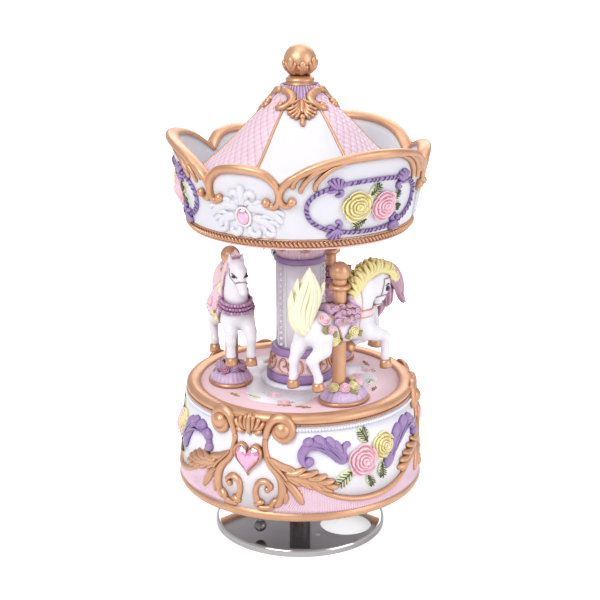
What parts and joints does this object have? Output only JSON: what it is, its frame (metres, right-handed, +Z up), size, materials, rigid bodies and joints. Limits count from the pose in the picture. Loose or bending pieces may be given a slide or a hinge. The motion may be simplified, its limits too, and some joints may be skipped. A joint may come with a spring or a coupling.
{
  "type": "carousel music box",
  "caption": "Wind-up music box shaped as a carousel: leaping horses on poles between a drum base and a scalloped tent canopy, turning on a steel disc.",
  "frame": {"origin": "on the table under the middle of the steel stand disc", "axes": "+Z up along the axis of rotation, -Y towards the front of the carousel at rest"},
  "size_m": [0.0903, 0.09, 0.179],
  "materials": {
    "polished_steel": "polished",
    "dark_steel": "satin",
    "bright_steel": "satin",
    "brass": "satin",
    "cast_zinc": "as cast",
    "governor_plastic": "moulded",
    "cover_plastic": "moulded",
    "drum_resin": "glazed, hand painted",
    "column_resin": "glazed, hand painted",
    "canopy_resin": "glazed, hand painted",
    "horse_resin": "glazed, hand painted",
    "gold_resin": "metallic paint",
    "foot_resin": "glazed, hand painted",
    "pink_stone": "faceted"
  },
  "bodies": {
    "stand": {"stand_plate": "polished_steel", "hub_post": "dark_steel", "hub_screw": "bright_steel", "thrust_washer": "brass", "winding_arbor": "bright_steel", "arbor_clip": "bright_steel", "great_wheel": "brass"},
    "cylinder": {"cylinder_drum": "brass", "cylinder_arbor": "bright_steel", "drive_pinion": "brass", "cylinder_gear": "brass"},
    "governor": {"governor_arbor": "bright_steel", "governor_pinion": "brass", "governor_wheel": "governor_plastic"},
    "fan": {"worm_shaft": "bright_steel", "fan": "governor_plastic"},
    "stop": {"stop_rod": "dark_steel", "stop_knob": "dark_steel"},
    "carousel": {"base_drum": "drum_resin", "bottom_cover": "cover_plastic", "cover_screws": "bright_steel", "stop_bush": "brass", "bedplate": "cast_zinc", "movement_screws": "bright_steel", "spring_housing": "cast_zinc", "housing_screws": "bright_steel", "mainspring": "bright_steel", "comb": "bright_steel", "comb_screws": "bright_steel", "governor_bracket": "bright_steel", "bracket_screws": "bright_steel", "column": "column_resin", "canopy": "canopy_resin", "canopy_ceiling": "canopy_resin", "finial": "gold_resin", "heart_gems": "pink_stone", "oval_gems": "pink_stone", "horse_front": "horse_resin", "pole_front": "gold_resin", "pole_foot_front": "foot_resin", "horse_rear": "horse_resin", "pole_rear": "gold_resin", "pole_foot_rear": "foot_resin", "horse_left": "horse_resin", "pole_left": "gold_resin", "pole_foot_left": "foot_resin"}
  },
  "joints": [
    {"name": "carousel_turn", "type": "hinge", "parent": "stand", "child": "carousel", "pos_m": [0, 0, 0.022], "axis": [0, 0, 1], "continuous": true},
    {"name": "cylinder_turn", "type": "hinge", "parent": "carousel", "child": "cylinder", "pos_m": [0, 0, 0.0327], "axis": [0.3856, -0.9226, 0], "continuous": true},
    {"name": "governor_turn", "type": "hinge", "parent": "carousel", "child": "governor", "pos_m": [-0.00832, -0.00348, 0.0349], "axis": [0.3856, -0.9226, 0], "continuous": true},
    {"name": "fan_turn", "type": "hinge", "parent": "carousel", "child": "fan", "pos_m": [-0.0106, -0.01462, 0.0349], "axis": [0, 0, 1], "continuous": true},
    {"name": "stop_slide", "type": "slide", "parent": "carousel", "child": "stop", "axis": [0, 0, 1], "range_m": [0, 0.0025]}
  ],
  "couplings": [
    {"joint": "cylinder_turn", "follows": "carousel_turn", "ratio": -2.5},
    {"joint": "governor_turn", "follows": "carousel_turn", "ratio": 9},
    {"joint": "fan_turn", "follows": "carousel_turn", "ratio": 216}
  ]
}
